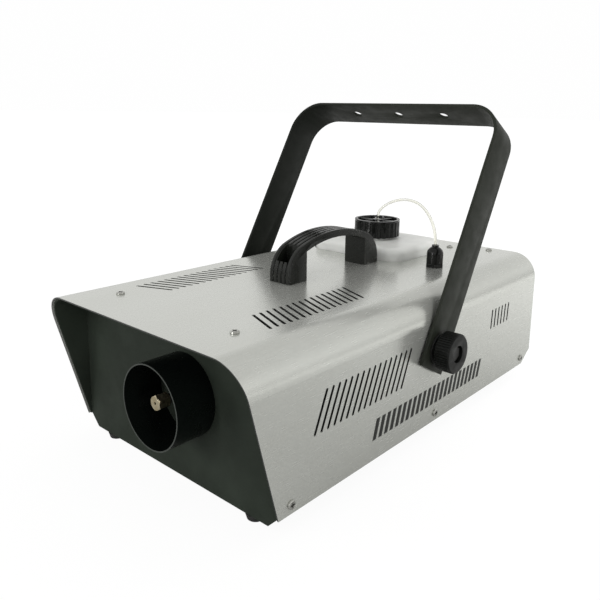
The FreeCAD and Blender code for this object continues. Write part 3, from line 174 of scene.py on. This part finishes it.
# ---------------------------------------------------------------- shroud
# A short rolled tube of thin steel, welded to the panel round the nozzle and sprayed gloss
# black. Its cut rim carries a painted highlight: grey, as the thin bright line where it catches light.
shroud_black = material("shroud_black", (0.003, 0.004, 0.0035), 0.30, Specular_IOR_Level=0.15)
rim_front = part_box("nozzle_shroud")[0][1]
rim_highlight_full = 0.00005
rim_highlight_fade = 0.00035
shroud_place = add(shroud_black, "TexCoord").outputs["Object"]
along = add(shroud_black, "SeparateXYZ", {0: shroud_place}).outputs["Y"]
# painted highlight: the front rim is coloured grey, fading to black just behind it
rim_highlight = between(shroud_black, along, 1.0, 0.0, start=rim_front + rim_highlight_full,
                   end=rim_front + rim_highlight_fade)
shroud_tone_with_highlight = mixed(shroud_black, rim_highlight, (0.0025, 0.0035, 0.003), (0.050, 0.055, 0.050))
wire(shroud_black, "Base Color", shroud_tone_with_highlight)
wire(shroud_black, "Roughness", between(shroud_black, speckle(shroud_black, 0.010), 0.24, 0.36))
relief(shroud_black, speckle(shroud_black, 0.0020), 0.000006)
coat(shroud_black, "nozzle_shroud")


# ---------------------------------------------------------------- nozzle, pipe and heater
# A brass nozzle is screwed on a steel pipe out of the cast block that boils the fluid. The
# block has two cartridge rods, a glass-fibre wrap and a zinc-coated jacket on two brackets.
def bare_metal(name, colour, stain, roughness, size, metallic=1.0, stretch=(1.0, 1.0, 1.0), depth=0.00001):
    """Unpainted metal with tool marks and stains."""
    made = material(name, colour, roughness, metallic)
    blotch = between(made, speckle(made, size * 8, detail=4.0), 0.0, 1.0)
    wire(made, "Base Color", mixed(made, blotch, colour, stain))
    wire(made, "Roughness", between(made, speckle(made, size, stretch), roughness - 0.1, roughness + 0.12))
    relief(made, speckle(made, size, stretch), depth)
    return made


nozzle_brass = bare_metal("nozzle_brass", (0.70, 0.63, 0.46), (0.48, 0.40, 0.24), 0.36, 0.0008)
coat(nozzle_brass, "nozzle_tip", "inlet_fitting", "board_standoffs")
pipe_steel = bare_metal("pipe_steel", (0.40, 0.37, 0.34), (0.24, 0.20, 0.22), 0.35, 0.0006)
coat(pipe_steel, "nozzle_pipe", "heating_elements", "pump_plunger", "pump_spring")
cast_metal = bare_metal("cast_metal", (0.58, 0.58, 0.58), (0.42, 0.42, 0.43), 0.55, 0.0010, depth=0.00008)
coat(cast_metal, "heater_block")
zinc_sheet = bare_metal("zinc_sheet", (0.55, 0.57, 0.58), (0.40, 0.42, 0.44), 0.40, 0.0030)
coat(zinc_sheet, "heater_jacket", "heater_brackets", "tank_tray", "tank_retainer", "pump_frame")
nickel = bare_metal("nickel", (0.70, 0.69, 0.66), (0.55, 0.54, 0.50), 0.25, 0.0008)
coat(nickel, "thermostat", "thermal_fuse", "inlet_blades", "remote_socket")

glass_wrap = material("glass_wrap", (0.78, 0.74, 0.60), 0.9)
wrap_place = add(glass_wrap, "TexCoord").outputs["Object"]
wrap_wave = add(glass_wrap, "TexWave", {"Vector": wrap_place, "Scale": 300.0, "Distortion": 2.0})
weave = wrap_wave.outputs["Fac"]
wire(glass_wrap, "Base Color", mixed(glass_wrap, weave, (0.70, 0.65, 0.50), (0.86, 0.83, 0.72)))
relief(glass_wrap, weave, 0.0004)
coat(glass_wrap, "heater_wrap")


# ---------------------------------------------------------------- pump
# A black nylon barrel runs through a taped coil in a steel frame, on two rubber blocks. Soft
# clear tubes lead in and out of it, a little yellowed. Their end in the tank has a filter bead.
tape_wind = (1.0, 20.0, 1.0)
coil_tape = material("coil_tape", (0.62, 0.36, 0.08), 0.45)
tape_turns = speckle(coil_tape, 0.001, tape_wind)
wire(coil_tape, "Base Color", mixed(coil_tape, tape_turns, (0.50, 0.27, 0.05), (0.72, 0.45, 0.12)))
relief(coil_tape, tape_turns, 0.0001)
coat(coil_tape, "pump_coil", "transformer")


def moulded(name, colour, roughness, grit=0.0006, depth=0.00002, **even):
    """Injection-moulded plastic: fine texture from the mould, flow streaks and greasy marks."""
    made = material(name, colour, roughness, **even)
    marks = between(made, speckle(made, 0.02, detail=4.0), 0.0, 0.6)
    worn = edge_mask(made, 0.0005)
    light = tuple(c * 2.2 + 0.006 for c in colour)
    base = mixed(made, marks, colour, tuple(c * 1.35 for c in colour))
    wire(made, "Base Color", mixed(made, worn, base, light))
    wire(made, "Roughness", between(made, speckle(made, 0.008), roughness - 0.06, roughness + 0.10))
    relief(made, speckle(made, grit), depth)
    return made


black_nylon = moulded("black_nylon", (0.012, 0.012, 0.012), 0.34)
coat(black_nylon, "pump_barrel", "power_inlet", "rocker_frame", "fuse_holder", "fuse_cap", "gland_lock_nut")

clear_tube = material("clear_tube", (0.97, 0.97, 0.93), 0.06, Transmission_Weight=0.96, IOR=1.14,
                      Specular_IOR_Level=0.35)
tube_tint = between(clear_tube, speckle(clear_tube, 0.02), 0.0, 1.0)
tube_tone = mixed(clear_tube, tube_tint, (0.97, 0.97, 0.94), (0.95, 0.945, 0.85))
wire(clear_tube, "Base Color", tube_tone)
relief(clear_tube, speckle(clear_tube, 0.0012), 0.00001)
coat(clear_tube, "suction_tube", "feed_tube", "pressure_tube")

filter_bead = material("filter_bead", (0.72, 0.72, 0.70), 0.8)
relief(filter_bead, speckle(filter_bead, 0.0006), 0.0002)
bead_tone = mixed(filter_bead, speckle(filter_bead, 0.0008), (0.6, 0.6, 0.58), (0.8, 0.8, 0.78))
wire(filter_bead, "Base Color", bead_tone)
coat(filter_bead, "suction_filter")


# ---------------------------------------------------------------- control board
# A green laminate board on brass posts, with a transformer, two relays and a terminal block.
# The relays are blue and the terminal block is green, both moulded.
board_green = material("board_green", (0.03, 0.18, 0.06), 0.35)
board_place = add(board_green, "TexCoord").outputs["Object"]
tracks = add(board_green, "TexBrick", {"Vector": board_place, "Scale": 90.0, "Mortar Size": 0.03})
traces = tracks.outputs["Fac"]
wire(board_green, "Base Color", mixed(board_green, traces, (0.03, 0.18, 0.06), (0.06, 0.30, 0.10)))
relief(board_green, traces, 0.00003)
coat(board_green, "control_board")
coat(moulded("relay_blue", (0.03, 0.12, 0.38), 0.30), "relays")
coat(moulded("terminal_green", (0.04, 0.34, 0.12), 0.35), "terminal_block")


# ---------------------------------------------------------------- fluid tank
# Blow-moulded natural polyethylene: milky, soft-edged and slightly uneven. It stands in its
# tray and only its shoulder and neck rise through the lid.
tank_milk = material("tank_milk", (0.72, 0.73, 0.71), 0.36, Subsurface_Weight=0.6, Subsurface_Scale=0.01,
                     Subsurface_Radius=(1.0, 1.0, 1.0))
tank_cloud = between(tank_milk, speckle(tank_milk, 0.03), 0.0, 1.0)
wire(tank_milk, "Base Color", mixed(tank_milk, tank_cloud, (0.74, 0.75, 0.72), (0.86, 0.87, 0.83)))
relief(tank_milk, speckle(tank_milk, 0.012), 0.0003)
coat(tank_milk, "fluid_tank")


# ---------------------------------------------------------------- rear fittings
# The mains inlet, rocker switch, fuse, ready lamp and remote socket sit in a row in the rear
# panel. The rocker is red nylon and the lamp's lens is clear green plastic.
coat(moulded("rocker_red", (0.42, 0.012, 0.010), 0.22), "rocker_button")
lamp_green = material("lamp_green", (0.03, 0.42, 0.08), 0.08, Transmission_Weight=0.4)
lamp_tone = mixed(lamp_green, speckle(lamp_green, 0.002), (0.02, 0.38, 0.06), (0.05, 0.5, 0.1))
wire(lamp_green, "Base Color", lamp_tone)
relief(lamp_green, speckle(lamp_green, 0.0008), 0.00003)
coat(lamp_green, "ready_lamp")


# ---------------------------------------------------------------- cover
# One steel sheet folded over the whole case, with punched louvres. Its silver lacquer is
# metallic, and has a fine grain that runs from front to back.
flake_share = 0.64
grain_run = (1.0, 0.06, 1.0)
silver = material("silver_lacquer", (0.56, 0.57, 0.54), 0.26, flake_share, Coat_Weight=0.25,
                  Coat_Roughness=0.16, Anisotropic=0.2)
grain = speckle(silver, 0.0007, grain_run, detail=4.0)
cloud = speckle(silver, 0.05, (1.0, 0.35, 1.0))
grained = mixed(silver, between(silver, grain, 0.0, 1.0), (0.540, 0.550, 0.518), (0.588, 0.598, 0.564))
clouded = mixed(silver, between(silver, cloud, 0.0, 0.5), grained, (0.518, 0.524, 0.486))
# painted shade: the lid's faces that look to the front, its cut edge at the hood and one wall of each louvre,
# are coloured near black and lose their metal
cover_normal = add(silver, "TexCoord").outputs["Normal"]
facing = add(silver, "SeparateXYZ", {0: cover_normal}).outputs["Y"]
front_face_shade = between(silver, facing, 1.0, 0.0, start=-0.80, end=-0.55)
wire(silver, "Base Color", mixed(silver, front_face_shade, clouded, (0.012, 0.013, 0.012)))
front_shade_free = add(silver, "Math", {0: 1.0, 1: front_face_shade}, operation="SUBTRACT").outputs["Value"]
wire(silver, "Metallic", between(silver, front_shade_free, 0.0, flake_share, start=0.0, end=1.0))
wire(silver, "Roughness", between(silver, grain, 0.22, 0.28))
relief(silver, speckle(silver, 0.0012, grain_run, detail=1.0), 0.0000005)
coat(silver, "top_cover")

# bright zinc screws hold it; round the heads and along the slots they carry painted shade, coloured near
# black
zinc_bright = (0.60, 0.60, 0.57)
zinc_dull = (0.44, 0.44, 0.41)
edge_shade_black = (0.02, 0.02, 0.018)
screw_zinc = bare_metal("screw_zinc", zinc_bright, zinc_dull, 0.26, 0.0006)
screw_tone = between(screw_zinc, speckle(screw_zinc, 0.004), 0.0, 1.0)
screw_face = mixed(screw_zinc, screw_tone, zinc_bright, zinc_dull)
screw_edge_shade = edge_mask(screw_zinc, 0.0009)
wire(screw_zinc, "Base Color", mixed(screw_zinc, screw_edge_shade, screw_face, edge_shade_black))
coat(screw_zinc, "case_screws", "foot_screws", "handle_screws", "pivot_nuts")


# ---------------------------------------------------------------- printed bars
# A row of slanted bars runs low along each side of the cover. They are screen-printed in
# black ink, straight on the lacquer.
bar_count = 23
bar_width = 0.0050
bar_lean = 0.0052
ink_depth = 0.00006
row_from_hood = 0.1445
row_length = 0.188
row_lift = 0.018
row_height = 0.018
cover_low, cover_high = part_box("top_cover")
row_front = cover_low[1] + row_from_hood
row_low = cover_low[2] + row_lift
row_high = row_low + row_height
ink = material("bar_ink", (0.014, 0.015, 0.014), 0.50, Specular_IOR_Level=0.25)
ink_tone = mixed(ink, speckle(ink, 0.0008), (0.012, 0.013, 0.012), (0.028, 0.029, 0.027))
wire(ink, "Base Color", ink_tone)
relief(ink, speckle(ink, 0.0006), 0.00001)
for side, label in ((1, "right"), (-1, "left")):
    mesh = bmesh.new()
    x_skin = side * cover_high[0]
    for step in range(bar_count):
        start = row_front + (row_length - bar_width - bar_lean) * step / (bar_count - 1)
        corners = [(start, row_low), (start + bar_width, row_low),
                   (start + bar_width + bar_lean, row_high), (start + bar_lean, row_high)]
        ring = [mesh.verts.new((x_skin + side * ink_depth, y, z)) for y, z in corners]
        back = [mesh.verts.new((x_skin - side * ink_depth, y, z)) for y, z in corners]
        mesh.faces.new(ring)
        mesh.faces.new(back[::-1])
        for a in range(4):
            b = (a + 1) % 4
            mesh.faces.new((ring[b], ring[a], back[a], back[b]))
    bmesh.ops.recalc_face_normals(mesh, faces=mesh.faces)
    data = bpy.data.meshes.new("printed_bars_" + label)
    mesh.to_mesh(data)
    mesh.free()
    bars = bpy.data.objects.new("printed_bars_" + label, data)
    scene.collection.objects.link(bars)
    data.materials.append(ink)
    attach(bars, "case")


# ---------------------------------------------------------------- cap and gland
# Both are glossy black mouldings. The cap has deep grips all round and a sunk, spoked top, and
# screws on the tank's neck. The gland goes through the lid, with its nut on top.
gloss_black = moulded("gloss_black", (0.005, 0.0055, 0.005), 0.13, grit=0.0012, depth=0.000008,
                      Specular_IOR_Level=0.30)


def soften(node, body, made, radius, turn=28.0):
    """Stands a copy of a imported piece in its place, with its sharp edges rounded over."""
    weld = 0.00001
    flat_turn = math.radians(0.6)
    data = nodes[node].data.copy()
    mesh = bmesh.new()
    mesh.from_mesh(data)
    bmesh.ops.remove_doubles(mesh, verts=mesh.verts, dist=weld)
    bmesh.ops.dissolve_limit(mesh, angle_limit=flat_turn, verts=mesh.verts, edges=mesh.edges)
    mesh.to_mesh(data)
    mesh.free()
    data.shade_smooth()
    piece = bpy.data.objects.new(node + "_rounded", data)
    scene.collection.objects.link(piece)
    rounding = piece.modifiers.new("rounding", "BEVEL")
    rounding.width = radius
    rounding.segments = 3
    rounding.limit_method = "ANGLE"
    rounding.angle_limit = math.radians(turn)
    rounding.harden_normals = True
    data.materials.clear()
    data.materials.append(made)
    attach(piece, body)
    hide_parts(node)


soften("tank_cap", "cap", gloss_black, 0.0005)
soften("gland_nut", "case", gloss_black, 0.0004)
soften("gland_body", "case", gloss_black, 0.0003)


# ---------------------------------------------------------------- clear hose
# One length of soft clear tube, 3 mm outside. It rises out of the cap's hub, bows over and
# drops straight into the gland, off the same reel as the tubes inside.


def middle(node):
    """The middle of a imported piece's box."""
    low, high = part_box(node)
    return (Vector(low) + Vector(high)) / 2


hose_radius = 0.0015
cap_centre = middle("tank_cap")
gland_centre = middle("gland_nut")
cap_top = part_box("tank_cap")[1][2]
hose_span = Vector((gland_centre.x - cap_centre.x, gland_centre.y - cap_centre.y, 0.0))
# how far along towards the gland, and how far above the cap
hose_route = [(0.0, -0.0060), (0.0, 0.0054), (0.0074, 0.0134), (0.0215, 0.0210), (0.0385, 0.0266),
              (0.0570, 0.0289), (0.0745, 0.0269), (0.0880, 0.0197), (0.0982, 0.0085), (0.1035, -0.0055),
              (0.1035, -0.0190)]
hose_curve = bpy.data.curves.new("fluid_hose_clear", "CURVE")
hose_curve.dimensions = "3D"
hose_line = hose_curve.splines.new("NURBS")
hose_line.points.add(len(hose_route) - 1)
for point, (reach, rise) in zip(hose_line.points, hose_route):
    share = reach / hose_route[-1][0]
    point.co = (cap_centre.x + hose_span.x * share, cap_centre.y + hose_span.y * share,
                cap_top + rise, 1.0)
hose_line.order_u = 3
hose_line.use_endpoint_u = True
hose_line.resolution_u = 16
hose_curve.bevel_depth = hose_radius
hose_curve.bevel_resolution = 6
hose_curve.use_fill_caps = True
hose = bpy.data.objects.new("fluid_hose_clear", hose_curve)
scene.collection.objects.link(hose)
hose_curve.materials.append(clear_tube)
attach(hose, "case")
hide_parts("fluid_hose")


# ---------------------------------------------------------------- carry handle
# A ribbed arch of glossy black plastic, moulded in one piece with its two feet. A screw goes
# down through a pocket in each foot into the lid.
handle_black = moulded("handle_black", (0.0050, 0.0056, 0.0044), 0.26, grit=0.0009, depth=0.00002,
                       Specular_IOR_Level=0.36)
soften("carry_handle", "case", handle_black, 0.0005)


# ---------------------------------------------------------------- yoke and its knobs
# Flat steel bar bent to a broad arch, in fine-textured black powder. A round ribbed knob on
# each side clamps it against a rubber pad.


def old_link(made, socket="Base Color"):
    """The output that feeds this socket of the shader now."""
    return made.node_tree.nodes["Principled BSDF"].inputs[socket].links[0].from_socket


yoke_black = black_paint("yoke_black", (0.0145, 0.0166, 0.0122), 0.52, grit=0.0006,
                         depth=0.00004, shine=0.17)
# painted shade: the left arm is coloured a deeper black than the bar and the right arm
yoke_place = add(yoke_black, "TexCoord").outputs["Object"]
yoke_across = add(yoke_black, "SeparateXYZ", {0: yoke_place}).outputs["X"]
yoke_left_shade = between(yoke_black, yoke_across, 0.0, 1.0, start=-0.125, end=0.0)
yoke_tone_with_shade = mixed(yoke_black, yoke_left_shade, (0.0055, 0.0070, 0.0050), old_link(yoke_black))
wire(yoke_black, "Base Color", yoke_tone_with_shade)
soften("yoke", "yoke_arm", yoke_black, 0.0006)
knob_black = moulded("knob_black", (0.003, 0.0035, 0.003), 0.36, Specular_IOR_Level=0.18)
for label in ("right", "left"):
    soften(label + "_knob", label + "_clamp", knob_black, 0.0004)
bolt_black = bare_metal("bolt_black", (0.05, 0.05, 0.048), (0.03, 0.03, 0.03), 0.45, 0.0006, metallic=0.6)
coat(bolt_black, "right_bolt", "left_bolt", "knob_washers")


# ---------------------------------------------------------------- studio
# A short portrait lens a little above the case, off its right front corner, looks down on the
# lid and is tipped by about a degree. The floor is pale and runs far back, and a large soft
# light hangs overhead, with four small ones round the machine.
camera_data = bpy.data.cameras.new("studio_camera")
camera_data.sensor_width = 36.0
camera_data.lens = 39.15
camera_data.shift_x = -0.030
camera_data.shift_y = -0.090
camera_data.clip_start = 0.02
camera = bpy.data.objects.new("studio_camera", camera_data)
scene.collection.objects.link(camera)
camera_place = (0.4091, -0.4882, 0.2993)
camera_turn = math.radians(40.64)
camera_down = math.radians(11.83)
camera_roll = math.radians(0.97)
camera.matrix_world = (
    Matrix.Translation(camera_place)
    @ Matrix.Rotation(camera_turn, 4, "Z")
    @ Matrix.Rotation(math.pi / 2 - camera_down, 4, "X")
    @ Matrix.Rotation(camera_roll, 4, "Z")
)
scene.camera = camera

floor_half = 30.0
floor_mesh = bmesh.new()
bmesh.ops.create_grid(floor_mesh, x_segments=2, y_segments=2, size=floor_half)
floor_data = bpy.data.meshes.new("studio_floor")
floor_mesh.to_mesh(floor_data)
floor_mesh.free()
floor = bpy.data.objects.new("studio_floor", floor_data)
scene.collection.objects.link(floor)
floor_pale = material("floor_pale", (0.60, 0.60, 0.60), 0.8)
# painted shade: it is greyer at the front, where the case stands, than farther back
floor_place = add(floor_pale, "TexCoord").outputs["Object"]
floor_depth = add(floor_pale, "SeparateXYZ", {0: floor_place}).outputs["Y"]
floor_shade_fade = between(floor_pale, floor_depth, 0.0, 1.0, start=-0.10, end=0.55)
wire(floor_pale, "Base Color", mixed(floor_pale, floor_shade_fade, (0.40, 0.40, 0.395), (0.97, 0.97, 0.96)))
floor_glow = add(floor_pale, "Emission", {"Color": (0.97, 0.97, 0.97, 1.0), "Strength": 1.13})
floor_seen = add(floor_pale, "LightPath").outputs["Is Camera Ray"]
floor_part = 0.86
floor_share = add(floor_pale, "Math", {0: floor_seen, 1: floor_part}, operation="MULTIPLY").outputs["Value"]
floor_paint = floor_pale.node_tree.nodes["Principled BSDF"].outputs["BSDF"]
floor_ways = add(floor_pale, "MixShader", {0: floor_share, 1: floor_paint, 2: floor_glow.outputs["Emission"]})
floor_end = floor_pale.node_tree.nodes["Material Output"]
floor_pale.node_tree.links.new(floor_ways.outputs["Shader"], floor_end.inputs["Surface"])
floor_data.materials.append(floor_pale)


def soft_light(name, place, target, size, power, mirrored=False):
    """An area light. Only a mirrored one shows in what it lights."""
    data = bpy.data.lights.new(name, "AREA")
    data.shape = "RECTANGLE"
    data.size, data.size_y = size
    data.energy = power
    light = bpy.data.objects.new(name, data)
    scene.collection.objects.link(light)
    light.location = place
    light.rotation_euler = (Vector(target) - Vector(place)).to_track_quat("-Z", "Y").to_euler()
    light.visible_glossy = mirrored


soft_light("overhead", place=(-0.2, 0.2, 2.4), target=(0, 0, 0), size=(2.4, 2.4), power=14)
soft_light("rear_floor", place=(0.50, 1.3, 0.9), target=(0.30, 0.6, 0), size=(0.6, 0.6), power=3.5)
soft_light("front_right", place=(1.5, -0.62, 0.40), target=(-0.12, -0.2, 0.1), size=(0.4, 0.4), power=9)
soft_light("front_left", place=(-1.0, -1.5, 0.50), target=(0, -0.2, 0.1), size=(0.5, 0.5), power=8)
soft_light("strip", place=(-0.15, -1.6, 0.50), target=(-0.03, 0, 0.16), size=(0.06, 0.95), power=5,
           mirrored=True)

# the air glows most a little above the horizon, and is plain white where the lens looks past the floor
sky_warmth = 0.985
sky_levels = ((0.02, 0.66), (0.20, 0.95), (0.40, 0.84), (0.62, 0.66), (0.95, 0.66))
world = bpy.data.worlds.new("studio_air")
scene.world = world
world.use_nodes = True
sky_way = add(world, "TexCoord").outputs["Generated"]
sky_height = add(world, "SeparateXYZ", {0: sky_way}).outputs["Z"]
sky_ramp = add(world, "ValToRGB", {"Fac": sky_height})
# a new ramp has two stops already
for _ in range(len(sky_levels) - 2):
    sky_ramp.color_ramp.elements.new(0.5)
for stop, (height, level) in zip(sky_ramp.color_ramp.elements, sky_levels):
    stop.position = height
    stop.color = (level, level, level * sky_warmth, 1.0)
air = world.node_tree.nodes["Background"]
world.node_tree.links.new(sky_ramp.outputs["Color"], air.inputs["Color"])
backdrop = add(world, "Background", {"Color": (0.995, 0.995, 0.995, 1.0)})
seen = add(world, "LightPath").outputs["Is Camera Ray"]
either = add(world, "MixShader", {0: seen, 1: air.outputs["Background"], 2: backdrop.outputs["Background"]})
air_end = world.node_tree.nodes["World Output"]
world.node_tree.links.new(either.outputs["Shader"], air_end.inputs["Surface"])
scene.view_settings.view_transform = "Standard"
